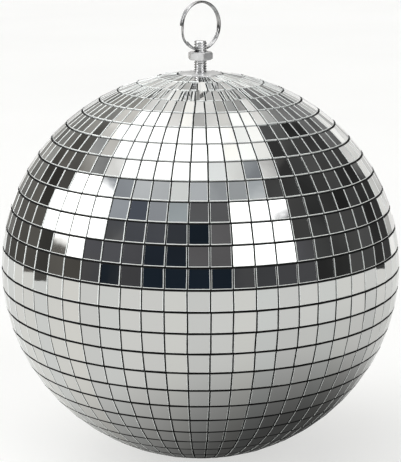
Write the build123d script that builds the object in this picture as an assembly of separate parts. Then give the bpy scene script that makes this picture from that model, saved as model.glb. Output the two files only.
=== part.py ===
from build123d import *
import math
import os

# A mirror ball of the 8 inch class: a hollow moulded core covered with glass mirror tiles, hung from
# a split ring that passes through the cross hole of a 1/4 inch stud.
#
# Lengths are millimetres and angles are degrees. The origin is the point inside the top of the split
# ring where a hook or cord bears. +Z is up, and the split ring lies in the XZ plane. The sub-parts
# are drawn about the centre of the ball, and save() drops them to hang below the origin.

# ---- Ball ----
BALL_RADIUS = 101.6  # over the tiles at the equator: an 8 inch ball
POLE_RATIO = 0.976  # height of the ball over its width
TILE_THICKNESS = 1.2
SEAM_GAP = 0.7  # between the tiles of a row
ROW_GAP = 1.1  # between rows
TILE_BED = 1.8  # from the tiled surface down to the core, with the glue bed
FULL_ROW_TILES = 60
TOP_EDGE_LATITUDE = 83.4  # upper edge of the first row, just outside the pole cap
ROW_PITCH = 5.86
ROW_COUNT = 29
TOP_ROW_TILES = [30, 44]  # tiles of the short rows, from the top pole down
BOTTOM_ROW_TILES = [44, 30, 14]  # tiles of the short rows down to the bottom pole
CLOSING_MIRROR_RADIUS = 5.5

# ---- Core ----
CORE_RADIUS = BALL_RADIUS - TILE_BED
CORE_WALL = 2.0
LAP_HEIGHT = 6.0  # how far the lower shell's lip stands up inside the upper shell
LAP_THICKNESS = 1.5
LAP_CLEARANCE = 0.5
BOSS_RADIUS = 15.0
BOSS_THICKNESS = 3.7
SEAT_RADIUS = 11.4  # flat seat for the pole cap, sunk into the top of the core
SEAT_DEPTH = 0.5
BOSS_BORE_RADIUS = 4.5

# ---- Stud and nuts, 1/4 inch thread ----
STUD_RADIUS = 3.175
STUD_CHAMFER = 0.6
THREAD_CLEARANCE = 0.05  # radial play that stands for the threads
CROSS_HOLE_RADIUS = 1.8
CROSS_HOLE_HEIGHT = 109.7  # above the ball's centre
CROSS_HOLE_BELOW_TOP = 4.7
NUT_ACROSS_FLATS = 11.1
NUT_CHAMFER_ANGLE = 30.0
LOCK_NUT_HEIGHT = 3.97
LOCK_NUT_BELOW_HOLE = 0.65  # from the cross hole's axis down to the lock nut's top
LOCK_NUT_TURN = 5.0  # degrees from +X to one of its corners
CLAMP_NUT_HEIGHT = 5.56
STUD_BELOW_CLAMP_NUT = 2.0

# ---- Pole cap and inner washers ----
CAP_RADIUS = 11.0
CAP_SHEET = 0.7
CAP_RIM_HEIGHT = 1.45
CAP_CROWN = 0.35  # rise of the cap from its rim to its collar
COLLAR_RADIUS = 4.2
COLLAR_DEPTH = 3.0  # how far the collar reaches down into the boss bore
LIP_HEIGHT = 0.2  # rolled lip of the collar, above the crown
PLATE_RADIUS = 18.0
PLATE_THICKNESS = 1.5
SPRING_WASHER_RADIUS = 5.9
SPRING_WASHER_THICKNESS = 1.6
SPRING_WASHER_SLIT = 1.2

# ---- Split ring ----
RING_RADIUS = 12.4  # outside
WIRE_RADIUS = 0.6
COIL_PITCH = 1.3  # between the two coils' centre planes
JOG_START = 180.0  # angles about the ring's axis, from +X towards +Z
JOG_END = 216.0
WIRE_END_CLEARANCE = 2.5  # degrees between each wire end and the jog
RING_ABOVE_HOLE = 0.4  # wire centre above the cross hole's axis, as the hole's roof bears on it

# ---- Worked-out heights, from the ball's centre ----
POLE_HEIGHT = BALL_RADIUS * POLE_RATIO
CORE_POLE_HEIGHT = CORE_RADIUS * POLE_RATIO
SEAT_HEIGHT = CORE_POLE_HEIGHT - SEAT_DEPTH
BOSS_FLOOR = SEAT_HEIGHT - BOSS_THICKNESS
PLATE_FLOOR = BOSS_FLOOR - PLATE_THICKNESS
SPRING_FLOOR = PLATE_FLOOR - SPRING_WASHER_THICKNESS
CLAMP_NUT_FLOOR = SPRING_FLOOR - CLAMP_NUT_HEIGHT
STUD_FLOOR = CLAMP_NUT_FLOOR - STUD_BELOW_CLAMP_NUT
STUD_TOP = CROSS_HOLE_HEIGHT + CROSS_HOLE_BELOW_TOP
LOCK_NUT_FLOOR = CROSS_HOLE_HEIGHT - LOCK_NUT_BELOW_HOLE - LOCK_NUT_HEIGHT
COIL_RADIUS = RING_RADIUS - WIRE_RADIUS
RING_CENTRE = CROSS_HOLE_HEIGHT + RING_ABOVE_HOLE + COIL_RADIUS
HANG_HEIGHT = RING_CENTRE + COIL_RADIUS - WIRE_RADIUS
HOLE_RADIUS = STUD_RADIUS + THREAD_CLEARANCE


def save(name, solids):
    """Write the solids of one sub-part, moved so that the hanging point is the origin."""
    drop = Location((0, 0, -HANG_HEIGHT))
    placed = [solid.moved(drop) for solid in solids]
    shape = placed[0] if len(placed) == 1 else Compound(placed)
    export_step(shape, f"parts/{name}.step")


def turned(points):
    """Solid of revolution about Z from a closed outline of (radius, height) points."""
    outline = Wire.make_polygon([(r, 0, z) for r, z in points])
    return Solid.revolve(Face(outline), 360, Axis.Z)


def cylinder(radius, floor, top):
    """Upright cylinder on the Z axis between two heights."""
    return Solid.make_cylinder(radius, top - floor, Plane((0, 0, floor)))


# ---- Mirror tiles ----
def surface_point(latitude, longitude):
    """Point of the tiled surface at a parametric latitude and a longitude."""
    lat = math.radians(latitude)
    lon = math.radians(longitude)
    ring = BALL_RADIUS * math.cos(lat)
    return Vector(ring * math.cos(lon), ring * math.sin(lon), POLE_HEIGHT * math.sin(lat))


def mirror_tile(low, high, pitch):
    """Flat glass tile between two latitudes, centred on longitude 0, with half a gap all round."""
    low_east = surface_point(low, pitch / 2)
    high_east = surface_point(high, pitch / 2)
    low_middle = Vector(low_east.X, 0, low_east.Z)
    high_middle = Vector(high_east.X, 0, high_east.Z)
    upward = (high_middle - low_middle).normalized()
    east = Vector(0, 1, 0)
    outward = east.cross(upward)
    low_half = low_east.Y - SEAM_GAP / 2
    high_half = high_east.Y - SEAM_GAP / 2
    low_line = low_middle + upward * (ROW_GAP / 2)
    high_line = high_middle - upward * (ROW_GAP / 2)
    corners = [
        low_line - east * low_half,
        low_line + east * low_half,
        high_line + east * high_half,
        high_line - east * high_half,
    ]
    face = Face(Wire.make_polygon(corners))
    return Solid.extrude(face, outward * -TILE_THICKNESS)


def tiles_in_row(row):
    """Number of tiles in a row, counted from 0 at the top pole."""
    if row < len(TOP_ROW_TILES):
        return TOP_ROW_TILES[row]
    from_bottom = ROW_COUNT - row
    if from_bottom <= len(BOTTOM_ROW_TILES):
        return BOTTOM_ROW_TILES[-from_bottom]
    return FULL_ROW_TILES


def mirror_row(row):
    """All the tiles of one row, as separate solids."""
    count = tiles_in_row(row)
    pitch = 360 / count
    high = TOP_EDGE_LATITUDE - ROW_PITCH * row
    tile = mirror_tile(high - ROW_PITCH, high, pitch)
    return [tile.rotate(Axis.Z, (place + 0.5) * pitch) for place in range(count)]


def closing_mirror():
    """Round mirror that closes the tiles at the bottom pole."""
    face_height = -POLE_HEIGHT
    return cylinder(CLOSING_MIRROR_RADIUS, face_height, face_height + TILE_THICKNESS)


# ---- Core shells ----
def shell_arc(radius, pole, low, high):
    """Arc of a half ellipse in the XZ plane, given its equator radius, pole height and end heights."""
    start = math.degrees(math.asin(low / pole))
    end = math.degrees(math.asin(high / pole))
    plane = Plane(origin=(0, 0, 0), x_dir=(1, 0, 0), z_dir=(0, -1, 0))
    return Edge.make_ellipse(radius, pole, plane, start, end)


def revolved_section(edges):
    """Solid of revolution from edges that are already drawn in the XZ plane."""
    return Solid.revolve(Face(Wire(edges)), 360, Axis.Z)


def ellipse_height(radius, pole, at_radius):
    """Height of an ellipse above a given distance from the axis."""
    return pole * math.sqrt(1 - (at_radius / radius) ** 2)


def line_through(points):
    """Straight edges joining (radius, height) points in the XZ plane."""
    corners = [Vector(r, 0, z) for r, z in points]
    return [Edge.make_line(a, b) for a, b in zip(corners, corners[1:])]


def core_upper_shell():
    """Upper half of the core, with the boss and the sunk seat that hold the hanger."""
    inner_radius = CORE_RADIUS - CORE_WALL
    inner_pole = CORE_POLE_HEIGHT - CORE_WALL
    seat_edge = ellipse_height(CORE_RADIUS, CORE_POLE_HEIGHT, SEAT_RADIUS)
    boss_edge = ellipse_height(inner_radius, inner_pole, BOSS_RADIUS)
    outer = shell_arc(CORE_RADIUS, CORE_POLE_HEIGHT, 0, seat_edge)
    inner = shell_arc(inner_radius, inner_pole, 0, boss_edge)
    seat = line_through(
        [
            (SEAT_RADIUS, seat_edge),
            (SEAT_RADIUS, SEAT_HEIGHT),
            (BOSS_BORE_RADIUS, SEAT_HEIGHT),
            (BOSS_BORE_RADIUS, BOSS_FLOOR),
            (BOSS_RADIUS, BOSS_FLOOR),
            (BOSS_RADIUS, boss_edge),
        ]
    )
    joint = line_through([(inner_radius, 0), (CORE_RADIUS, 0)])
    return revolved_section([outer, *seat, inner, *joint])


def core_lower_shell():
    """Lower half of the core, closed at the pole, with the lap that locates the upper half."""
    inner_radius = CORE_RADIUS - CORE_WALL
    inner_pole = CORE_POLE_HEIGHT - CORE_WALL
    lap_outer = inner_radius - LAP_CLEARANCE
    lap_inner = lap_outer - LAP_THICKNESS
    lap_foot = -ellipse_height(inner_radius, inner_pole, lap_inner)
    outer = shell_arc(CORE_RADIUS, CORE_POLE_HEIGHT, -CORE_POLE_HEIGHT, 0)
    inner = shell_arc(inner_radius, inner_pole, -inner_pole, lap_foot)
    rim = line_through(
        [
            (CORE_RADIUS, 0),
            (lap_outer, 0),
            (lap_outer, LAP_HEIGHT),
            (lap_inner, LAP_HEIGHT),
            (lap_inner, lap_foot),
        ]
    )
    axis = line_through([(0, -inner_pole), (0, -CORE_POLE_HEIGHT)])
    return revolved_section([outer, *rim, inner, *axis])


# ---- Hanger ----
def hanger_stud():
    """Stud with chamfered ends and the cross hole that the split ring passes through."""
    stud = turned(
        [
            (0, STUD_FLOOR),
            (STUD_RADIUS - STUD_CHAMFER, STUD_FLOOR),
            (STUD_RADIUS, STUD_FLOOR + STUD_CHAMFER),
            (STUD_RADIUS, STUD_TOP - STUD_CHAMFER),
            (STUD_RADIUS - STUD_CHAMFER, STUD_TOP),
            (0, STUD_TOP),
        ]
    )
    start = Plane(origin=(-2 * STUD_RADIUS, 0, CROSS_HOLE_HEIGHT), z_dir=(1, 0, 0))
    return stud - Solid.make_cylinder(CROSS_HOLE_RADIUS, 4 * STUD_RADIUS, start)


def hex_nut(floor, height, turn=0.0):
    """Hex nut with both faces chamfered at the corners and a bore that clears the stud."""
    corner_radius = NUT_ACROSS_FLATS / math.sqrt(3)
    drop = (corner_radius - NUT_ACROSS_FLATS / 2) * math.tan(math.radians(NUT_CHAMFER_ANGLE))
    corners = []
    for corner in range(6):
        angle = math.radians(60 * corner + turn)
        corners.append((corner_radius * math.cos(angle), corner_radius * math.sin(angle), floor))
    prism = Solid.extrude(Face(Wire.make_polygon(corners)), Vector(0, 0, height))
    top = floor + height
    envelope = turned(
        [
            (HOLE_RADIUS, floor),
            (NUT_ACROSS_FLATS / 2, floor),
            (corner_radius, floor + drop),
            (corner_radius, top - drop),
            (NUT_ACROSS_FLATS / 2, top),
            (HOLE_RADIUS, top),
        ]
    )
    return prism & envelope


def pole_cap():
    """Pressed cap with a rim that stands on the core and a collar that reaches into its bore."""
    floor = SEAT_HEIGHT
    rim_top = floor + CAP_RIM_HEIGHT
    crown = rim_top + CAP_CROWN
    corner = CAP_SHEET / 2
    return turned(
        [
            (CAP_RADIUS - CAP_SHEET, floor),
            (CAP_RADIUS, floor),
            (CAP_RADIUS, rim_top - corner),
            (CAP_RADIUS - corner, rim_top),
            (COLLAR_RADIUS + CAP_SHEET / 2, crown),
            (COLLAR_RADIUS, crown + LIP_HEIGHT),
            (HOLE_RADIUS, crown + LIP_HEIGHT),
            (HOLE_RADIUS, floor - COLLAR_DEPTH),
            (COLLAR_RADIUS, floor - COLLAR_DEPTH),
            (COLLAR_RADIUS, crown - CAP_SHEET),
            (CAP_RADIUS - CAP_SHEET, rim_top - CAP_SHEET),
        ]
    )


def washer(radius, floor, top):
    """Flat washer that clears the stud."""
    return cylinder(radius, floor, top) - cylinder(HOLE_RADIUS, floor, top)


def spring_washer():
    """Split lock washer, pressed flat, with its slit towards +X."""
    ring = washer(SPRING_WASHER_RADIUS, SPRING_FLOOR, PLATE_FLOOR)
    slit = Solid.make_box(SPRING_WASHER_RADIUS, SPRING_WASHER_SLIT, SPRING_WASHER_THICKNESS)
    return ring - slit.moved(Location((HOLE_RADIUS / 2, -SPRING_WASHER_SLIT / 2, SPRING_FLOOR)))


# ---- Split ring ----
def coil_arc(side, start, end):
    """Centre line of one coil, in the plane half a coil pitch to one side of the ring's middle."""
    plane = Plane(origin=(0, side * COIL_PITCH / 2, RING_CENTRE), x_dir=(1, 0, 0), z_dir=(0, -1, 0))
    return Edge.make_circle(COIL_RADIUS, plane, start, end)


def split_ring():
    """Two coils of one wire, joined by a jog between the two wire ends."""
    front = coil_arc(-1, JOG_END + WIRE_END_CLEARANCE - 360, JOG_START)
    back = coil_arc(1, JOG_END - 360, JOG_START - WIRE_END_CLEARANCE)
    jog = Edge.make_spline(
        [front.position_at(1), back.position_at(0)],
        tangents=[front.tangent_at(1), back.tangent_at(0)],
    )
    path = Wire([front, jog, back])
    start = Plane(origin=path.position_at(0), z_dir=path.tangent_at(0))
    return Solid.sweep(Face(Wire.make_circle(WIRE_RADIUS, start)), path=path)


def main():
    os.makedirs("parts", exist_ok=True)
    save("split_ring", [split_ring()])
    save("hanger_stud", [hanger_stud()])
    save("lock_nut", [hex_nut(LOCK_NUT_FLOOR, LOCK_NUT_HEIGHT, LOCK_NUT_TURN)])
    save("pole_cap", [pole_cap()])
    save("backing_plate", [washer(PLATE_RADIUS, PLATE_FLOOR, BOSS_FLOOR)])
    save("spring_washer", [spring_washer()])
    save("clamp_nut", [hex_nut(CLAMP_NUT_FLOOR, CLAMP_NUT_HEIGHT)])
    save("core_upper_shell", [core_upper_shell()])
    save("core_lower_shell", [core_lower_shell()])
    save("closing_mirror", [closing_mirror()])
    for row in range(ROW_COUNT):
        save(f"mirror_row_{row + 1:02d}", mirror_row(row))


main()
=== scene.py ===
import math
import random

import bmesh
import bpy
from mathutils import Matrix, Vector


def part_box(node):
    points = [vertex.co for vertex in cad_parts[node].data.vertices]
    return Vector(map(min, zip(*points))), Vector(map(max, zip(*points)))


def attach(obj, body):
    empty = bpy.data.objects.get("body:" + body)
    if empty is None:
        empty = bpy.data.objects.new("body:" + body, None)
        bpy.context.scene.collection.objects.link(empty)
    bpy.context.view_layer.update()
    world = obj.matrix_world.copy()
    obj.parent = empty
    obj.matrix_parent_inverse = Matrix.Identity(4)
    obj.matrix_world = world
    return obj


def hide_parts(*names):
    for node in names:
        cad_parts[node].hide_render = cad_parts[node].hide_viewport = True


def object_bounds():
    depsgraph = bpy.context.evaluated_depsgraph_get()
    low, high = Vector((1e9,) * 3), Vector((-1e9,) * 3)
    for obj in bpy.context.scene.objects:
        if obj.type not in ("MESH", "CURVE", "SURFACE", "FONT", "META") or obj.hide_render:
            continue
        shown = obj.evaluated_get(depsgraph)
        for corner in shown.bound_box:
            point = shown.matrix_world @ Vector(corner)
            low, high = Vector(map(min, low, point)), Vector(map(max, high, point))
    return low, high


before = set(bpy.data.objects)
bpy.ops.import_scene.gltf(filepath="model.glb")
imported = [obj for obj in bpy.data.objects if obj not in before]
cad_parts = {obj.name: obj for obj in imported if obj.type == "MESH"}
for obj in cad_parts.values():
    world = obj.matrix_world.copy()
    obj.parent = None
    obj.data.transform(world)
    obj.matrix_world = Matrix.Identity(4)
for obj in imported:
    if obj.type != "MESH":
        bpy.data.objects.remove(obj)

# Looks of the mirror ball: glass tiles, threaded hanger, studio and camera. Lengths are metres.
CAD_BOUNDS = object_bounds()
MM = 0.001

# ---- Places read from the frame ----
RADIUS = (CAD_BOUNDS[1].x - CAD_BOUNDS[0].x) / 2
CENTRE = Vector((0, 0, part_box("core_upper_shell")[0].z))  # the shells meet at the ball's centre height
TILE_ROWS = sorted(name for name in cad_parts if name.startswith("mirror_row_"))

# ---- Camera and studio axes ----
CAMERA_AZIMUTH = math.radians(-38.6)  # 0 looks along +Y
CAMERA_ELEVATION = math.radians(14.0)
CAMERA_DISTANCE = 8.0 * RADIUS
AIM_ABOVE_CENTRE = 0.165 * RADIUS
LENS = 123.0


def add_piece(name, verts, faces, materials, body, replaces, face_materials=None):
    """A mesh object that rides on a CAD body and stands for the CAD nodes it replaces."""
    mesh = bpy.data.meshes.new(name)
    mesh.from_pydata(verts, [], faces)
    for material in materials:
        mesh.materials.append(material)
    if face_materials:
        for polygon, index in zip(mesh.polygons, face_materials):
            polygon.material_index = index
    mesh.update()
    piece = bpy.data.objects.new(name, mesh)
    bpy.context.scene.collection.objects.link(piece)
    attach(piece, body)
    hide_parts(*replaces)
    return piece


def apply_modifiers(piece):
    """Replace a piece's mesh by what its modifiers make of it."""
    graph = bpy.context.evaluated_depsgraph_get()
    made = bpy.data.meshes.new_from_object(piece.evaluated_get(graph))
    piece.modifiers.clear()
    piece.data = made


def soften_by_angle(piece, degrees):
    """Smooth shading, with edges sharper than the angle kept crisp."""
    piece.data.shade_smooth()
    piece.data.set_sharp_from_angle(angle=math.radians(degrees))


# ---- Materials ----
def new_material(name):
    """An empty node material and its Principled shader."""
    material = bpy.data.materials.new(name)
    material.use_nodes = True
    shader = material.node_tree.nodes["Principled BSDF"]
    return material, material.node_tree, shader


def object_noise(tree, scale, detail=3.0, stretch=(1, 1, 1)):
    """Noise over the piece's own coordinates."""
    coords = tree.nodes.new("ShaderNodeTexCoord")
    mapping = tree.nodes.new("ShaderNodeMapping")
    mapping.inputs["Scale"].default_value = stretch
    noise = tree.nodes.new("ShaderNodeTexNoise")
    noise.inputs["Scale"].default_value = scale
    noise.inputs["Detail"].default_value = detail
    tree.links.new(coords.outputs["Object"], mapping.inputs["Vector"])
    tree.links.new(mapping.outputs["Vector"], noise.inputs["Vector"])
    return noise.outputs["Fac"]


def ramp(tree, factor, stops):
    """Colour ramp through (position, colour) stops."""
    node = tree.nodes.new("ShaderNodeValToRGB")
    elements = node.color_ramp.elements
    while len(elements) < len(stops):
        elements.new(0.5)
    for element, (position, colour) in zip(elements, stops):
        element.position = position
        element.color = (*colour, 1.0)
    tree.links.new(factor, node.inputs["Fac"])
    return node.outputs["Color"]


def grey(value):
    return (value, value, value)


def span(tree, factor, low, high):
    """A factor of 0 to 1 turned into a number between two limits."""
    node = tree.nodes.new("ShaderNodeMapRange")
    node.inputs["To Min"].default_value = low
    node.inputs["To Max"].default_value = high
    tree.links.new(factor, node.inputs["Value"])
    return node.outputs["Result"]


def add_bump(tree, shader, factor, distance):
    """Surface relief of a given depth in metres."""
    node = tree.nodes.new("ShaderNodeBump")
    node.inputs["Strength"].default_value = 1.0
    node.inputs["Distance"].default_value = distance
    tree.links.new(factor, node.inputs["Height"])
    tree.links.new(node.outputs["Normal"], shader.inputs["Normal"])


def mirror_face():
    """Silvered glass: a slightly different tone on each tile, faint haze and a trace of waviness."""
    material, tree, shader = new_material("mirror_face")
    island = tree.nodes.new("ShaderNodeNewGeometry").outputs["Random Per Island"]
    tones = [
        (0.0, (0.64, 0.65, 0.65)),
        (0.35, (0.71, 0.71, 0.70)),
        (0.7, (0.67, 0.69, 0.69)),
        (1.0, (0.75, 0.74, 0.71)),
    ]
    tree.links.new(ramp(tree, island, tones), shader.inputs["Base Color"])
    haze = object_noise(tree, 90.0, 4.0)
    tree.links.new(span(tree, haze, 0.0, 0.05), shader.inputs["Roughness"])
    add_bump(tree, shader, object_noise(tree, 160.0, 1.0), 0.006 * MM)
    shader.inputs["Metallic"].default_value = 1.0
    return material


def glowing_glass_edge():
    """Cut and ground edge of the glass: pale and faintly green, with a painted glow that stands in for
    light carried inside the glass.
    """
    material, tree, shader = new_material("glowing_glass_edge")
    grain = object_noise(tree, 1500.0, 2.0)
    tones = [(0.3, (0.88, 0.92, 0.90)), (0.7, (0.97, 0.98, 0.97))]
    tree.links.new(ramp(tree, grain, tones), shader.inputs["Base Color"])
    tree.links.new(span(tree, grain, 0.12, 0.35), shader.inputs["Roughness"])
    shader.inputs["Coat Weight"].default_value = 0.6
    shader.inputs["Coat Roughness"].default_value = 0.05
    # Painted glow: the edges emit light though they are no lamp.
    shader.inputs["Emission Color"].default_value = (0.95, 1.0, 0.97, 1.0)
    shader.inputs["Emission Strength"].default_value = 0.10
    return material


def backing_paint():
    """Grey protective paint on the back of each tile."""
    material, tree, shader = new_material("backing_paint")
    speckle = object_noise(tree, 900.0)
    tones = [(0.35, (0.12, 0.13, 0.13)), (0.65, (0.22, 0.23, 0.23))]
    tree.links.new(ramp(tree, speckle, tones), shader.inputs["Base Color"])
    shader.inputs["Roughness"].default_value = 0.7
    return material


def glue_and_painted_shade():
    """Black glue at the bottom of the seams; the same black on the sides of the glass is painted shade."""
    material, tree, shader = new_material("glue_and_painted_shade")
    lumps = object_noise(tree, 700.0, 4.0)
    tones = [(0.35, grey(0.004)), (0.75, grey(0.014))]
    tree.links.new(ramp(tree, lumps, tones), shader.inputs["Base Color"])
    tree.links.new(span(tree, lumps, 0.5, 0.8), shader.inputs["Roughness"])
    shader.inputs["Specular IOR Level"].default_value = 0.25
    return material


def core_plastic():
    """Matt black moulded plastic smeared with black tile glue."""
    material, tree, shader = new_material("core_plastic")
    smear = object_noise(tree, 220.0, 5.0)
    tones = [(0.35, grey(0.006)), (0.7, grey(0.02))]
    tree.links.new(ramp(tree, smear, tones), shader.inputs["Base Color"])
    tree.links.new(span(tree, smear, 0.45, 0.8), shader.inputs["Roughness"])
    add_bump(tree, shader, smear, 0.15 * MM)
    return material


def plated_metal(name, dark, light, rough_low, rough_high, scale, bare=1.0, stretch=(1, 1, 1)):
    """Plated steel: tone and gloss vary with the plating, and fine lines run with the stretch.

    bare is how metallic it looks: the dull white bloom of zinc plating lowers it.
    """
    material, tree, shader = new_material(name)
    cloud = object_noise(tree, scale, 5.0, stretch)
    tree.links.new(ramp(tree, cloud, [(0.3, dark), (0.7, light)]), shader.inputs["Base Color"])
    tree.links.new(span(tree, cloud, rough_low, rough_high), shader.inputs["Roughness"])
    add_bump(tree, shader, object_noise(tree, scale * 6, 3.0, stretch), 0.01 * MM)
    shader.inputs["Metallic"].default_value = bare
    return material


MIRROR = mirror_face()
EDGE = glowing_glass_edge()
PAINT = backing_paint()
GLUE_AND_SHADE = glue_and_painted_shade()
CORE = core_plastic()
ZINC = plated_metal("zinc_plate", grey(0.78), (0.95, 0.95, 0.96), 0.14, 0.32, 400.0, 0.65)
THREAD = plated_metal("zinc_thread", grey(0.74), (0.94, 0.94, 0.95), 0.10, 0.24, 400.0)
NICKEL = plated_metal("nickel_wire", grey(0.42), grey(0.62), 0.12, 0.25, 500.0)
CAP_SHEET = plated_metal("cap_sheet", grey(0.72), grey(0.87), 0.28, 0.45, 120.0, 0.7, (1, 1, 4))

# ---- Mirror tiles ----
TILE_THICKNESS = 1.2 * MM
TILE_SINK = 0.1 * MM  # keeps the corners of a tilted tile below the CAD tile's face
GLUE_DEPTH = 1.0 * MM  # from a tile's face down to the glue between the tiles
SEAM_REACH = 0.37 * MM  # how far the glue reaches out from a tile's sides, to the next tile's glue
ROW_REACH = 0.57 * MM  # and from its upper and lower edges
GLUE_STEPS = [
    (-SEAM_REACH, -SEAM_REACH, -ROW_REACH, -ROW_REACH, GLUE_DEPTH + 0.05 * MM),
    (-SEAM_REACH, -SEAM_REACH, -ROW_REACH, -ROW_REACH, TILE_THICKNESS),
]
# Outlines of a tile from its face down: how far inside the west, east, lower and upper sides of
# the CAD tile, and how deep.
LOWER_PROFILE = [
    (0.10 * MM, 0.22 * MM, 0.14 * MM, 0.02 * MM, 0.0),
    (0.03 * MM, 0.05 * MM, -0.10 * MM, -0.04 * MM, 0.18 * MM),
    (0.03 * MM, 0.03 * MM, -0.12 * MM, -0.05 * MM, 0.50 * MM),
    (0.02 * MM, 0.02 * MM, -0.12 * MM, -0.05 * MM, GLUE_DEPTH),
    *GLUE_STEPS,
]
# The upper half's glass was laid with the flared side of its cut down.
UPPER_PROFILE = [
    (0.13 * MM, 0.25 * MM, 0.20 * MM, 0.04 * MM, 0.0),
    (0.03 * MM, 0.04 * MM, -0.06 * MM, -0.03 * MM, 0.18 * MM),
    (0.03 * MM, 0.03 * MM, -0.10 * MM, -0.04 * MM, 0.50 * MM),
    (0.02 * MM, 0.02 * MM, -0.10 * MM, -0.04 * MM, GLUE_DEPTH),
    *GLUE_STEPS,
]
TILE_MATERIALS = [MIRROR, EDGE, PAINT, GLUE_AND_SHADE]
ON_FACE, ON_EDGE, ON_BACK, ON_GLUE_AND_SHADE = range(4)  # places in TILE_MATERIALS
# What shows on the lower, east, upper and west sides of each step: glowing clean glass, or black, which is
# glue deep in the seams and painted shade on the upper sides and, deeper down, on the east and west sides.
SHADED_UPPER_SIDE = (ON_EDGE, ON_EDGE, ON_GLUE_AND_SHADE, ON_EDGE)
SHADED_BUT_LOWER_SIDE = (ON_EDGE, ON_GLUE_AND_SHADE, ON_GLUE_AND_SHADE, ON_GLUE_AND_SHADE)
ALL_GLUE = (ON_GLUE_AND_SHADE,) * 4
LOWER_KINDS = [SHADED_UPPER_SIDE, SHADED_BUT_LOWER_SIDE, SHADED_BUT_LOWER_SIDE, ALL_GLUE, ALL_GLUE]
UPPER_KINDS = [SHADED_UPPER_SIDE, SHADED_UPPER_SIDE, SHADED_BUT_LOWER_SIDE, ALL_GLUE, ALL_GLUE]
TILE_TILT = 0.45  # degrees, spread of how true the tiles were laid
TILE_TWIST = 0.14  # degrees, the same in the plane of the tile
TILE_SLIP = 0.013 * MM  # spread of how far a tile slipped across its row
CUT_SPREAD = (0.1 * MM, 0.4 * MM)  # how far a hand-cut edge stands beyond its true place
SLIVER_CHANCE = 0.55  # share of the hand-cut tiles that are made up of two slivers
SLIVER_GAP = 0.35 * MM
SEAM_SHIFT = 0.022  # how far a seam may stray from its true place, in tile widths
SEAM_SKEW = 0.010  # how far its two ends may stray apart
POLAR_LATITUDE = 62.0  # degrees; nearer the poles the tiles were cut and laid by eye
POLAR_SPAN = 9.0  # degrees from there to where the laying is at its most uneven
TOP_ROUGHNESS = 9.0  # how much more uneven the top rows are than the rest
BOTTOM_ROUGHNESS = 2.0  # and the bottom rows
TILT_POWER = 0.65  # tilt grows more slowly than the other errors of laying
SLIVER_ROUGHNESS = 5.0  # slivers appear from here on
SLIVER_SHARE = (0.35, 0.65)  # of the tile's width, for the western one
WELD = 0.001 * MM


def loose_parts(node):
    """The welded corner points of each solid of a CAD node."""
    mesh = bmesh.new()
    mesh.from_mesh(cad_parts[node].data)
    bmesh.ops.remove_doubles(mesh, verts=mesh.verts, dist=WELD)
    waiting = {v.index: v for v in mesh.verts}
    parts = []
    while waiting:
        stack = [waiting.pop(min(waiting))]
        points = []
        while stack:
            vert = stack.pop()
            points.append(vert.co.copy())
            for link in vert.link_edges:
                other = link.other_vert(vert)
                if other.index in waiting:
                    stack.append(waiting.pop(other.index))
        parts.append(points)
    mesh.free()
    return parts


class Tile:
    """A CAD tile's outer face: its centre, its directions and its size."""

    def __init__(self, points):
        outer = sorted(points, key=lambda p: (p - CENTRE).length)[-4:]
        outer.sort(key=lambda p: p.z)
        low, high = outer[:2], outer[2:]
        self.middle = sum(outer, Vector()) / 4
        self.longitude = math.atan2(self.middle.y, self.middle.x)
        self.east = Vector((-self.middle.y, self.middle.x, 0)).normalized()
        rise = sum(high, Vector()) / 2 - sum(low, Vector()) / 2
        self.height = rise.length
        self.up = rise.normalized()
        self.low_half = (low[0] - low[1]).length / 2
        self.high_half = (high[0] - high[1]).length / 2


def roughness_of_laying(tile):
    """1 over most of the ball, rising to 10 in the hand-cut rows at the top and to 3 at the bottom."""
    rise = tile.middle.z - CENTRE.z
    latitude = math.degrees(math.asin(abs(rise) / (tile.middle - CENTRE).length))
    most = TOP_ROUGHNESS if rise > 0 else BOTTOM_ROUGHNESS
    return 1 + most * min(1, max(0, (latitude - POLAR_LATITUDE) / POLAR_SPAN))


class Laying:
    """How one piece of glass was cut and laid: its angles, its slip and the places of its sides."""

    def __init__(self, rng, rough, west, east):
        tilt = math.radians(TILE_TILT * rough ** TILT_POWER)
        self.nod = rng.gauss(0, tilt)
        self.roll = rng.gauss(0, tilt)
        self.twist = rng.gauss(0, math.radians(TILE_TWIST * rough))
        self.slip = rng.gauss(0, TILE_SLIP * rough)
        self.sink = TILE_SINK * rough ** 0.5
        hand_cut = (rough - 1) / TOP_ROUGHNESS
        self.low_cut = rng.uniform(*CUT_SPREAD) * hand_cut
        self.high_cut = rng.uniform(*CUT_SPREAD) * hand_cut
        self.west = west
        self.east = east


def tile_loops(tile, laying):
    """The glass's outlines from its face to its back, each as four points, lower west corner first.

    laying.west and laying.east hold how far the lower and upper ends of each side were moved.
    """
    normal = tile.east.cross(tile.up)
    turn = Matrix.Rotation(laying.nod, 3, tile.east) @ Matrix.Rotation(laying.roll, 3, tile.up)
    turn = turn @ Matrix.Rotation(laying.twist, 3, normal)
    middle = tile.middle + tile.up * laying.slip - normal * laying.sink
    outlines = []
    profile = UPPER_PROFILE if tile.middle.z > CENTRE.z else LOWER_PROFILE
    for west, east, lower, upper, depth in profile:
        low_u = lower - tile.height / 2 - laying.low_cut
        high_u = tile.height / 2 + laying.high_cut - upper
        corners = [
            (west - tile.low_half + laying.west[0], low_u),
            (tile.low_half - east + laying.east[0], low_u),
            (tile.high_half - east + laying.east[1], high_u),
            (west - tile.high_half + laying.west[1], high_u),
        ]
        outlines.append([
            middle + turn @ (tile.east * e + tile.up * u - normal * depth) for e, u in corners
        ])
    return outlines


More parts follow.
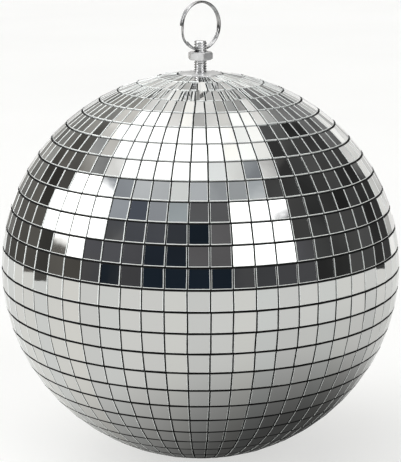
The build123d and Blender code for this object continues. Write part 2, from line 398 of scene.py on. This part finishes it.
def pieces_of(tile, rng, rough, west, east):
    """The one piece of glass of a tile, or the two slivers that some hand-cut tiles are made of."""
    if rough < SLIVER_ROUGHNESS or rng.random() > SLIVER_CHANCE:
        return [Laying(rng, rough, west, east)]
    share = rng.uniform(*SLIVER_SHARE)
    widths = (2 * tile.low_half, 2 * tile.high_half)
    cut_east = [e - (1 - share) * w - SLIVER_GAP / 2 for e, w in zip(east, widths)]
    cut_west = [e + share * w + SLIVER_GAP / 2 for e, w in zip(west, widths)]
    return [Laying(rng, rough, west, cut_east), Laying(rng, rough, cut_west, east)]


def stray_seams(tiles, rng, rough):
    """How far the lower and upper ends of the seam east of each tile stray along the row."""
    seams = []
    for tile in tiles:
        width = tile.low_half + tile.high_half
        stray = rng.uniform(-SEAM_SHIFT, SEAM_SHIFT) * rough
        skew = rng.uniform(-SEAM_SKEW, SEAM_SKEW) * rough
        seams.append([(stray - skew) * width, (stray + skew) * width])
    return seams


def tile_row(node, rng):
    """One row of bevelled glass tiles in their glue, laid a little unevenly over the CAD tiles."""
    tiles = sorted((Tile(points) for points in loose_parts(node)), key=lambda t: t.longitude)
    rough = roughness_of_laying(tiles[0])
    profile_kinds = UPPER_KINDS if tiles[0].middle.z > CENTRE.z else LOWER_KINDS
    seams = stray_seams(tiles, rng, rough)
    verts = []
    faces = []
    kinds = []
    for place, tile in enumerate(tiles):
        for laying in pieces_of(tile, rng, rough, seams[place - 1], seams[place]):
            start = len(verts)
            for outline in tile_loops(tile, laying):
                verts.extend(outline)
            faces.append([start + i for i in range(4)])
            kinds.append(ON_FACE)
            for level, sides in enumerate(profile_kinds):
                ring = start + 4 * level
                for i, kind in enumerate(sides):
                    j = (i + 1) % 4
                    faces.append([ring + i, ring + 4 + i, ring + 4 + j, ring + j])
                    kinds.append(kind)
            faces.append([start + 4 * len(profile_kinds) + 3 - i for i in range(4)])
            kinds.append(ON_BACK)
    name = node.replace("mirror_row", "tiles_row")
    add_piece(name, verts, faces, TILE_MATERIALS, "ball", [node], kinds)


def lay_tiles():
    rng = random.Random(8)
    for node in TILE_ROWS:
        tile_row(node, rng)


# ---- Turned and threaded pieces ----
STEPS = 72  # round a turned piece


def loops_mesh(loops, closed):
    """Vertices and quads that join loops of equal length, closed into a tube's ring if asked."""
    count = len(loops[0])
    verts = [point for loop in loops for point in loop]
    faces = []
    pairs = len(loops) if closed else len(loops) - 1
    for a in range(pairs):
        b = (a + 1) % len(loops)
        for i in range(count):
            j = (i + 1) % count
            faces.append([a * count + i, a * count + j, b * count + j, b * count + i])
    if not closed:
        faces.append([count - 1 - i for i in range(count)])
        faces.append([(len(loops) - 1) * count + i for i in range(count)])
    return verts, faces


def turned_loop(radius, height):
    """Points round the Z axis, where radius is a number or a function of the angle."""
    loop = []
    for step in range(STEPS):
        angle = 2 * math.pi * step / STEPS
        r = radius(angle) if callable(radius) else radius
        loop.append((r * math.cos(angle), r * math.sin(angle), height))
    return loop


THREAD_PITCH = 1.27 * MM  # nominal, for a 1/4-20 thread
THREAD_DEPTH = 0.52 * MM  # shallower and blunter than a true thread, so that the stud reads wide enough
CREST_SHARE = 0.36  # of the pitch
ROOT_SHARE = 0.14
THREAD_SAMPLES = 14  # along the axis, for each turn of thread
STUD_CHAMFER = 0.45 * MM
CROSS_HOLE_RADIUS = 1.8 * MM
CROSS_HOLE_BELOW_TOP = 4.7 * MM
CUTTER_REACH = 5.0 * MM  # past the stud's sides
THREAD_BORE = 3.225 * MM  # radius of the bores that the stud goes through


def thread_shape(turns):
    """Height of the thread at a point along its pitch: 1 on the flat crest, 0 at the root."""
    from_crest = abs(turns % 1.0 - 0.5)
    slope = (1 - CREST_SHARE - ROOT_SHARE) / 2
    return min(1.0, max(0.0, 1 - (from_crest - CREST_SHARE / 2) / slope))


def hanger_stud():
    """Threaded stud with chamfered ends and a cross hole for the split ring."""
    low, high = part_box("hanger_stud")
    crest = (high.x - low.x) / 2
    count = int((high.z - low.z) / THREAD_PITCH * THREAD_SAMPLES)
    loops = []
    for step in range(count + 1):
        z = low.z + (high.z - low.z) * step / count
        end = min(z - low.z, high.z - z)
        limit = crest - STUD_CHAMFER + end

        def radius(angle, z=z, limit=limit):
            cut = THREAD_DEPTH * (1 - thread_shape(z / THREAD_PITCH - angle / (2 * math.pi)))
            return min(crest - cut, limit)

        loops.append(turned_loop(radius, z))
    verts, faces = loops_mesh(loops, closed=False)
    stud = add_piece("threaded_stud", verts, faces, [THREAD], "ball", ["hanger_stud"])
    bore_cross_hole(stud, high.z)
    soften_by_angle(stud, 35)


def bore_cross_hole(stud, top):
    """Cut the cross hole along X through the stud."""
    middle = top - CROSS_HOLE_BELOW_TOP
    round_hole = turned_loop(CROSS_HOLE_RADIUS, 0.0)
    loops = [[(x, y, middle + z) for y, z, _ in round_hole] for x in (-CUTTER_REACH, CUTTER_REACH)]
    verts, faces = loops_mesh(loops, closed=False)
    mesh = bpy.data.meshes.new("cross_hole_cutter")
    mesh.from_pydata(verts, [], faces)
    cutter = bpy.data.objects.new("cross_hole_cutter", mesh)
    bpy.context.scene.collection.objects.link(cutter)
    cut = stud.modifiers.new("cross_hole", "BOOLEAN")
    cut.operation = "DIFFERENCE"
    cut.solver = "EXACT"
    cut.object = cutter
    apply_modifiers(stud)
    bpy.data.objects.remove(cutter)


NUT_CHAMFER = math.tan(math.radians(30))
NUT_CORNER_ROUND = 0.992  # corners are worn just inside the true hexagon
NUT_FLAT = 5.55 * MM  # half the width across its flats
LOCK_NUT_TURN = math.radians(5.0)
NUT_FACE_SHARE = 0.97  # radius of the flat face inside the chamfer, as a share of NUT_FLAT
COUNTERSINK = 0.5 * MM


def hex_radius(angle):
    """Distance from the axis to the nut's side, with a corner at angle 0."""
    turn = (angle + math.pi / 6) % (math.pi / 3) - math.pi / 6
    return NUT_FLAT / math.cos(math.pi / 6 - abs(turn))


def hex_nut(name, node, body, turn=0.0):
    """Hex nut with chamfered faces, worn corners and a plain, countersunk bore."""
    low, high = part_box(node)
    bore = THREAD_BORE
    half = (high.z - low.z) / 2
    middle = (high.z + low.z) / 2
    corner_limit = NUT_FLAT / math.cos(math.pi / 6) * NUT_CORNER_ROUND

    def wall(depth):
        cone = NUT_FLAT * NUT_FACE_SHARE + depth / NUT_CHAMFER
        return lambda angle: min(hex_radius(angle - turn), cone, corner_limit)

    inner = [(bore, -half + COUNTERSINK), (bore, half - COUNTERSINK), (bore + COUNTERSINK, half)]
    depths = [0.0, 0.1, 0.2, 0.35, 0.5, 0.7, 0.9]  # mm in from each face, over the chamfer
    loops = [turned_loop(r, middle + z) for r, z in inner]
    loops += [turned_loop(wall(d * MM), middle + half - d * MM) for d in depths]
    loops += [turned_loop(wall(d * MM), middle - half + d * MM) for d in reversed(depths)]
    loops.append(turned_loop(bore + COUNTERSINK, middle - half))
    verts, faces = loops_mesh(loops, closed=True)
    nut = add_piece(name, verts, [face[::-1] for face in faces], [ZINC], body, [node])
    soften_by_angle(nut, 24)


def pole_cap():
    """Pressed cap: rolled rim, shallow crown and a lipped collar round the stud."""
    low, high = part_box("pole_cap")
    edge = (high.x - low.x) / 2
    bore = THREAD_BORE
    sheet = 0.7 * MM
    lip = 4.3 * MM
    rim_top = high.z - 0.55 * MM
    seat = low.z + 3.0 * MM
    bend = 0.6 * MM
    outer = [(edge, seat)]
    for step in range(6):
        angle = math.pi / 2 * step / 5
        outer.append((edge - bend + bend * math.cos(angle), rim_top - bend + bend * math.sin(angle)))
    crown = high.z - 0.2 * MM
    outer += [
        (lip + 0.9 * MM, crown - 0.02 * MM),
        (lip + 0.3 * MM, crown),
        (lip, high.z - 0.08 * MM),
        (lip - 0.25 * MM, high.z),
        (bore + 0.3 * MM, high.z),
        (bore, high.z - 0.3 * MM),
    ]
    inner = [
        (bore, low.z),
        (bore + sheet, low.z),
        (bore + sheet, crown - sheet),
        (edge - sheet - 0.2 * MM, rim_top - sheet),
        (edge - sheet, rim_top - sheet - 0.2 * MM),
        (edge - sheet, seat),
    ]
    loops = [turned_loop(r, z) for r, z in outer + inner]
    verts, faces = loops_mesh(loops, closed=True)
    cap = add_piece("pressed_pole_cap", verts, faces, [CAP_SHEET], "ball", ["pole_cap"])
    soften_by_angle(cap, 40)


def closing_mirror():
    """Round mirror with a chamfered glass edge, at the bottom pole."""
    low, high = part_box("closing_mirror")
    radius = (high.x - low.x) / 2
    bevel = 0.35 * MM
    bevel_height = 0.22 * MM
    draft = 0.06 * MM  # how much narrower the edge is under its bevel than at its back
    outline = [
        (radius - bevel, low.z),
        (radius - draft, low.z + bevel_height),
        (radius, high.z),
    ]
    loops = [turned_loop(r, z) for r, z in outline]
    verts, faces = loops_mesh(loops, closed=False)
    kinds = [ON_EDGE] * STEPS + [ON_GLUE_AND_SHADE] * STEPS + [ON_FACE, ON_BACK]
    add_piece("round_closing_mirror", verts, faces, TILE_MATERIALS, "ball",
              ["closing_mirror"], kinds)


# ---- Split ring ----
WIRE_RADIUS = 0.6 * MM
COIL_PITCH = 1.3 * MM
JOG_START = 180.0  # degrees round the ring, from its right side
JOG_END = 216.0
WIRE_END_CLEARANCE = 2.5  # degrees between each cut end and the jog
WIRE_STEP = 3.0  # degrees between sections of the wire
WIRE_SIDES = 20
CUT_END = [(0.0, 0.62), (0.12, 0.9), (0.35, 1.0)]  # mm from a cut end, share of the wire's radius


def split_ring():
    """Two flat coils of one wire, joined by a jog between the wire's two ends."""
    low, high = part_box("split_ring")
    centre = (low + high) / 2
    coil = (high.x - low.x) / 2 - WIRE_RADIUS
    start = JOG_END + WIRE_END_CLEARANCE - 360
    end = JOG_START + 360 - WIRE_END_CLEARANCE
    count = int((end - start) / WIRE_STEP)
    stations = [(start + math.degrees(d * MM / coil), share) for d, share in CUT_END]
    stations += [(start + (end - start) * step / count, 1.0) for step in range(1, count)]
    stations += [(end - math.degrees(d * MM / coil), share) for d, share in reversed(CUT_END)]
    loops = []
    for angle, share in stations:
        turn = math.radians(angle)
        jog = min(1.0, max(0.0, (angle - JOG_START) / (JOG_END - JOG_START)))
        side = COIL_PITCH * (jog * jog * (3 - 2 * jog) - 0.5)
        outward = Vector((math.cos(turn), 0, math.sin(turn)))
        middle = centre + outward * coil + Vector((0, side, 0))
        loop = []
        for step in range(WIRE_SIDES):
            around = 2 * math.pi * step / WIRE_SIDES
            offset = outward * math.cos(around) + Vector((0, math.sin(around), 0))
            loop.append(middle + offset * WIRE_RADIUS * share)
        loops.append(loop)
    verts, faces = loops_mesh(loops, closed=False)
    ring = add_piece("wire_split_ring", verts, faces, [NICKEL], "ring", ["split_ring"])
    soften_by_angle(ring, 45)


def finish_cad_nodes():
    """Materials for the CAD nodes that are shown as they are."""
    for node, material in (
        ("core_upper_shell", CORE),
        ("core_lower_shell", CORE),
        ("backing_plate", ZINC),
        ("spring_washer", ZINC),
    ):
        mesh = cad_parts[node].data
        mesh.materials.clear()
        mesh.materials.append(material)


# ---- Studio ----
RIGHT = Vector((math.cos(CAMERA_AZIMUTH), math.sin(CAMERA_AZIMUTH), 0))
AWAY = Vector((-math.sin(CAMERA_AZIMUTH), math.cos(CAMERA_AZIMUTH), 0))
UP = Vector((0, 0, 1))
FLOOR_RADIUS = 9.0
FLOOR_SIDES = 64
FLOOR_DROP = 0.2 * MM  # below the ball's foot
TABLE_DROP = 0.4 * MM
TABLE_SIDES = 96
# The table that the ball sees, in ball radii from the ball's foot.
TABLE_REACH = 60.0  # towards the camera
TABLE_FOCUS = 4.0  # from the foot to the tip of its parabola
TABLE_BACK = 7.0  # least distance to its edge
TABLE_GLOW = 0.83
# Painted shadows on it: place to the right and away from the camera, core, edge, light left in the core.
TABLE_PAINTED_SHADOWS = [
    ((0.42, -0.15), 0.3, 1.65, 0.09),
    ((1.4, 0.0), 0.5, 3.4, 0.80),
]


def floor_material():
    """Plain pale studio floor with the faintest mottle."""
    material, tree, shader = new_material("studio_floor")
    mottle = object_noise(tree, 3.0, 2.0)
    tones = [(0.0, (0.38, 0.38, 0.375)), (1.0, (0.40, 0.40, 0.395))]
    tree.links.new(ramp(tree, mottle, tones), shader.inputs["Base Color"])
    tree.links.new(ramp(tree, mottle, tones), shader.inputs["Emission Color"])
    shader.inputs["Emission Strength"].default_value = 1.5
    shader.inputs["Roughness"].default_value = 0.9
    shader.inputs["Specular IOR Level"].default_value = 0.1
    return material


def studio_floor():
    angles = [2 * math.pi * i / FLOOR_SIDES for i in range(FLOOR_SIDES)]
    verts = [(FLOOR_RADIUS * math.cos(a), FLOOR_RADIUS * math.sin(a), 0.0) for a in angles]
    mesh = bpy.data.meshes.new("studio_floor")
    mesh.from_pydata(verts, [], [list(range(FLOOR_SIDES))])
    mesh.materials.append(floor_material())
    floor = bpy.data.objects.new("studio_floor", mesh)
    floor.location = (0, 0, CAD_BOUNDS[0].z - FLOOR_DROP)
    floor.visible_glossy = False
    floor.visible_diffuse = False
    floor.visible_shadow = False
    bpy.context.scene.collection.objects.link(floor)


def studio_point(right, away, up):
    """A place in the studio, in ball radii from the ball's centre along the camera's level axes."""
    return CENTRE + (RIGHT * right + AWAY * away + UP * up) * RADIUS


def soft_light(name, place, aim, size, energy):
    """Square soft light that the mirrors and the camera don't see, placed in ball radii."""
    light = bpy.data.lights.new(name, "AREA")
    light.shape = "SQUARE"
    light.size = size * RADIUS
    light.energy = energy
    lamp = bpy.data.objects.new(name, light)
    lamp.location = studio_point(*place)
    lamp.rotation_mode = "QUATERNION"
    lamp.rotation_quaternion = (studio_point(*aim) - lamp.location).to_track_quat("-Z", "Y")
    lamp.visible_camera = False
    lamp.visible_glossy = False
    bpy.context.scene.collection.objects.link(lamp)


def soft_lights():
    """One light gives the floor its slow gradient, the other picks out the cut edges on the left."""
    soft_light("side_soft", (-9.0, -1.0, 8.0), (-1.0, 0.0, -1.0), 6.0, 2.0)
    soft_light("edge_soft", (-6.0, -6.0, 0.6), (0.0, 0.0, 0.0), 3.0, 1.6)


def painted_round_shadow(tree, coords, place, core, edge, left):
    """Share of the glow that a painted soft round shadow leaves."""
    away = tree.nodes.new("ShaderNodeVectorMath")
    away.operation = "DISTANCE"
    away.inputs[1].default_value = (*place, 0.0)
    tree.links.new(coords, away.inputs[0])
    fade = tree.nodes.new("ShaderNodeMapRange")
    fade.interpolation_type = "SMOOTHSTEP"
    fade.inputs["From Min"].default_value = core
    fade.inputs["From Max"].default_value = edge
    fade.inputs["To Min"].default_value = left
    tree.links.new(away.outputs["Value"], fade.inputs["Value"])
    return fade.outputs["Result"]


def table_material():
    """Pale glowing table top with the ball's soft shadow painted into its glow to the right, in coordinates
    of ball radii.
    """
    material, tree, shader = new_material("shooting_table")
    coords = tree.nodes.new("ShaderNodeTexCoord").outputs["Object"]
    glow = TABLE_GLOW
    # The ball's shadow is painted: each shadow dims the table's glow by distance from its place.
    for shadow in TABLE_PAINTED_SHADOWS:
        glow = world_math(tree, "MULTIPLY", glow, painted_round_shadow(tree, coords, *shadow))
    tree.links.new(glow, shader.inputs["Emission Strength"])
    shader.inputs["Emission Color"].default_value = (1.0, 1.0, 0.975, 1.0)
    shader.inputs["Base Color"].default_value = (0.0, 0.0, 0.0, 1.0)
    shader.inputs["Specular IOR Level"].default_value = 0.0
    return material


def table_edge(angle):
    """Distance from the ball's foot to the table's edge, a parabola that opens to the camera at 0."""
    parabola = 2 * TABLE_FOCUS / max(0.01, 1 - math.cos(angle))
    return min(TABLE_REACH, max(TABLE_BACK, parabola))


def shooting_table():
    """The table as the ball sees it. The camera sees the plain studio floor instead."""
    outline = []
    for step in range(TABLE_SIDES):
        angle = 2 * math.pi * step / TABLE_SIDES
        reach = table_edge(angle)
        outline.append((reach * math.sin(angle), -reach * math.cos(angle), 0.0))
    mesh = bpy.data.meshes.new("shooting_table")
    mesh.from_pydata(outline, [], [list(range(TABLE_SIDES))])
    mesh.materials.append(table_material())
    table = bpy.data.objects.new("shooting_table", mesh)
    table.scale = (RADIUS, RADIUS, RADIUS)
    table.location = (0, 0, CAD_BOUNDS[0].z - TABLE_DROP)
    table.rotation_mode = "XYZ"
    table.rotation_euler = (0, 0, CAMERA_AZIMUTH)
    table.visible_camera = False
    table.visible_shadow = False
    bpy.context.scene.collection.objects.link(table)


def world_math(tree, operation, *values):
    """A Math node whose inputs are sockets or numbers."""
    node = tree.nodes.new("ShaderNodeMath")
    node.operation = operation
    for socket, value in zip(node.inputs, values):
        if isinstance(value, (int, float)):
            socket.default_value = value
        else:
            tree.links.new(value, socket)
    return node.outputs[0]


def world_mix(tree, factor, a, b, blend="MIX"):
    """Blend of two colours, each a socket or three numbers, by a socket or a number."""
    node = tree.nodes.new("ShaderNodeMix")
    node.data_type = "RGBA"
    node.blend_type = blend
    for socket, value in zip((node.inputs[0], node.inputs[6], node.inputs[7]), (factor, a, b)):
        if isinstance(value, tuple):
            socket.default_value = (*value, 1.0)
        elif isinstance(value, (int, float)):
            socket.default_value = value
        else:
            tree.links.new(value, socket)
    return node.outputs[2]


def inside(tree, value, low, high):
    """How far inside a range of degrees a value is; negative outside."""
    from_middle = world_math(tree, "ABSOLUTE", world_math(tree, "SUBTRACT", value, (low + high) / 2))
    return world_math(tree, "SUBTRACT", (high - low) / 2, from_middle)


def card(tree, azimuth, height, below, spec):
    """Lay one card or soft box over what is below it."""
    left, right, low, high, colour, edge = spec
    depth = world_math(tree, "MINIMUM", inside(tree, azimuth, left, right), inside(tree, height, low, high))
    factor = world_math(tree, "DIVIDE", depth, edge)
    clamp = tree.nodes.new("ShaderNodeClamp")
    tree.links.new(factor, clamp.inputs["Value"])
    return world_mix(tree, clamp.outputs[0], below, colour)


# The studio as the ball sees it, in degrees: azimuth from the camera's side, positive to the right,
# from and to; height above the horizon, from and to; colour; width of the soft edge.
# Later cards lie over earlier ones.
WALL_CARDS = [
    (-172, -146, 14, 46, (0.42, 0.415, 0.40), 5.0),
    (-190, -150, -14, 18, (0.62, 0.61, 0.60), 6.0),
    (150, 190, -14, 18, (0.62, 0.61, 0.60), 6.0),
    (-168, -126, -14, 46, (0.30, 0.295, 0.28), 5.0),
    (-142, -50, -14, 42, (0.105, 0.10, 0.092), 4.0),
    (-128, -76, 41, 49, (0.36, 0.37, 0.38), 2.0),
    (134, 168, 14, 52, (0.19, 0.19, 0.19), 5.0),
    (50, 140, -14, 54, (0.05, 0.05, 0.05), 3.0),
    (76, 136, 53, 61, (0.24, 0.24, 0.24), 3.0),
    (100, 134, 50, 64, (0.06, 0.06, 0.06), 3.0),
]
CEILING_CARDS = [
    (-150, -52, 51, 81, (2.3, 2.3, 2.3), 2.0),
    (-54, 12, 63, 81, (2.3, 2.3, 2.3), 2.0),
    (60, 150, 61, 79, (1.25, 1.24, 1.20), 3.0),
    (10, 66, 63, 78, (0.92, 0.94, 0.94), 2.0),
    (-18, 30, 58, 67, (0.60, 0.62, 0.62), 2.0),
    (-180, 180, 77, 91, (2.3, 2.3, 2.3), 2.0),
]
# The dark room behind the camera, in bands from the ceiling down to the horizon.
FRONT_CARDS = [
    (-60, 66, 50, 64, (0.56, 0.58, 0.60), 1.5),
    (-30, -6, 50, 64, (0.80, 0.82, 0.82), 1.5),
    (18, 56, 50, 62, (0.40, 0.42, 0.44), 1.5),
    (54, 68, 50, 62, (0.28, 0.29, 0.31), 1.5),
    (-80, 64, 37, 51, (0.36, 0.38, 0.41), 1.5),
    (-55, -42, 37, 51, (0.12, 0.135, 0.17), 1.5),
    (-30, -6, 37, 51, (0.47, 0.52, 0.55), 1.5),
    (-6, 30, 37, 51, (0.135, 0.135, 0.14), 1.5),
    (-66, 64, 24, 38, (0.095, 0.10, 0.115), 1.5),
    (-18, -6, 24, 38, (0.045, 0.05, 0.06), 1.5),
    (-7, 7, 24, 38, (0.012, 0.018, 0.026), 1.0),
    (6, 30, 24, 38, (0.145, 0.14, 0.145), 1.5),
    (-66, 64, 12, 25, (0.10, 0.10, 0.11), 1.5),
    (-34, -6, 12, 25, (0.018, 0.024, 0.034), 1.5),
    (-6, 30, 12, 25, (0.145, 0.14, 0.145), 1.5),
    (-66, 64, -6, 13, (0.075, 0.075, 0.08), 1.5),
    (-60, -50, -6, 13, (0.02, 0.028, 0.038), 1.5),
    (-32, 24, -6, 13, (0.013, 0.020, 0.030), 1.5),
]
SOFTBOX_CARDS = [
    (-107, -66, 9, 43, (3.0, 3.0, 3.0), 0.6),
    (24, 57, 12, 38, (3.0, 3.0, 3.0), 0.6),
    (26, 61, 37, 49, (3.0, 3.0, 3.0), 0.6),
]
BEHIND = (0.80, 0.79, 0.77)
BACKDROP = (0.95, 0.95, 0.94)


def lay_cards(tree, azimuth, height, room, cards):
    for spec in cards:
        room = card(tree, azimuth, height, room, spec)
    return room


def world_noise(tree, directions, scale, stretch, dark, light):
    """Blotches of light and dark over the directions of the room."""
    mapping = tree.nodes.new("ShaderNodeMapping")
    mapping.inputs["Scale"].default_value = stretch
    noise = tree.nodes.new("ShaderNodeTexNoise")
    noise.inputs["Scale"].default_value = scale
    noise.inputs["Detail"].default_value = 3.0
    tree.links.new(directions, mapping.inputs["Vector"])
    tree.links.new(mapping.outputs["Vector"], noise.inputs["Vector"])
    return ramp(tree, noise.outputs["Fac"], [(0.35, grey(dark)), (0.65, grey(light))])


def studio_room():
    """A photographer's room: dark behind the camera, white overhead, soft boxes on both sides."""
    world = bpy.data.worlds.new("studio_room")
    bpy.context.scene.world = world
    world.use_nodes = True
    tree = world.node_tree
    coords = tree.nodes.new("ShaderNodeTexCoord")
    mapping = tree.nodes.new("ShaderNodeMapping")
    mapping.inputs["Rotation"].default_value = (0, 0, -CAMERA_AZIMUTH)
    tree.links.new(coords.outputs["Generated"], mapping.inputs["Vector"])
    split = tree.nodes.new("ShaderNodeSeparateXYZ")
    tree.links.new(mapping.outputs["Vector"], split.inputs[0])
    right, away, up = split.outputs
    toward = world_math(tree, "MULTIPLY", away, -1.0)
    azimuth = world_math(tree, "MULTIPLY", world_math(tree, "ARCTAN2", right, toward), 180 / math.pi)
    height = world_math(tree, "MULTIPLY", world_math(tree, "ARCSINE", up), 180 / math.pi)
    room = lay_cards(tree, azimuth, height, BEHIND, WALL_CARDS)
    streaks = world_noise(tree, mapping.outputs["Vector"], 9.0, (1, 1, 0.12), 0.45, 1.7)
    room = world_mix(tree, 1.0, room, streaks, "MULTIPLY")
    room = lay_cards(tree, azimuth, height, room, CEILING_CARDS + FRONT_CARDS)
    clutter = world_noise(tree, mapping.outputs["Vector"], 7.0, (1, 1, 1), 0.8, 1.2)
    room = world_mix(tree, 1.0, room, clutter, "MULTIPLY")
    room = lay_cards(tree, azimuth, height, room, SOFTBOX_CARDS)
    ray = tree.nodes.new("ShaderNodeLightPath")
    seen = world_mix(tree, ray.outputs["Is Camera Ray"], room, BACKDROP)
    tree.links.new(seen, tree.nodes["Background"].inputs["Color"])


def place_camera():
    flat = AWAY * -math.cos(CAMERA_ELEVATION)
    back = flat + UP * math.sin(CAMERA_ELEVATION)
    camera_up = UP * math.cos(CAMERA_ELEVATION) + AWAY * math.sin(CAMERA_ELEVATION)
    data = bpy.data.cameras.new("camera")
    data.lens = LENS
    data.sensor_width = 36.0
    data.clip_start = 0.05
    data.clip_end = 50.0
    camera = bpy.data.objects.new("camera", data)
    camera.location = CENTRE + back * CAMERA_DISTANCE
    aim = CENTRE + camera_up * AIM_ABOVE_CENTRE - camera.location
    camera.rotation_mode = "QUATERNION"
    camera.rotation_quaternion = aim.to_track_quat("-Z", "Y")
    bpy.context.scene.collection.objects.link(camera)
    bpy.context.scene.camera = camera


def main():
    lay_tiles()
    hanger_stud()
    hex_nut("hex_lock_nut", "lock_nut", "nut", LOCK_NUT_TURN)
    hex_nut("hex_clamp_nut", "clamp_nut", "ball")
    pole_cap()
    closing_mirror()
    split_ring()
    finish_cad_nodes()
    studio_floor()
    shooting_table()
    soft_lights()
    studio_room()
    place_camera()
    bpy.context.scene.view_settings.view_transform = "Standard"


main()
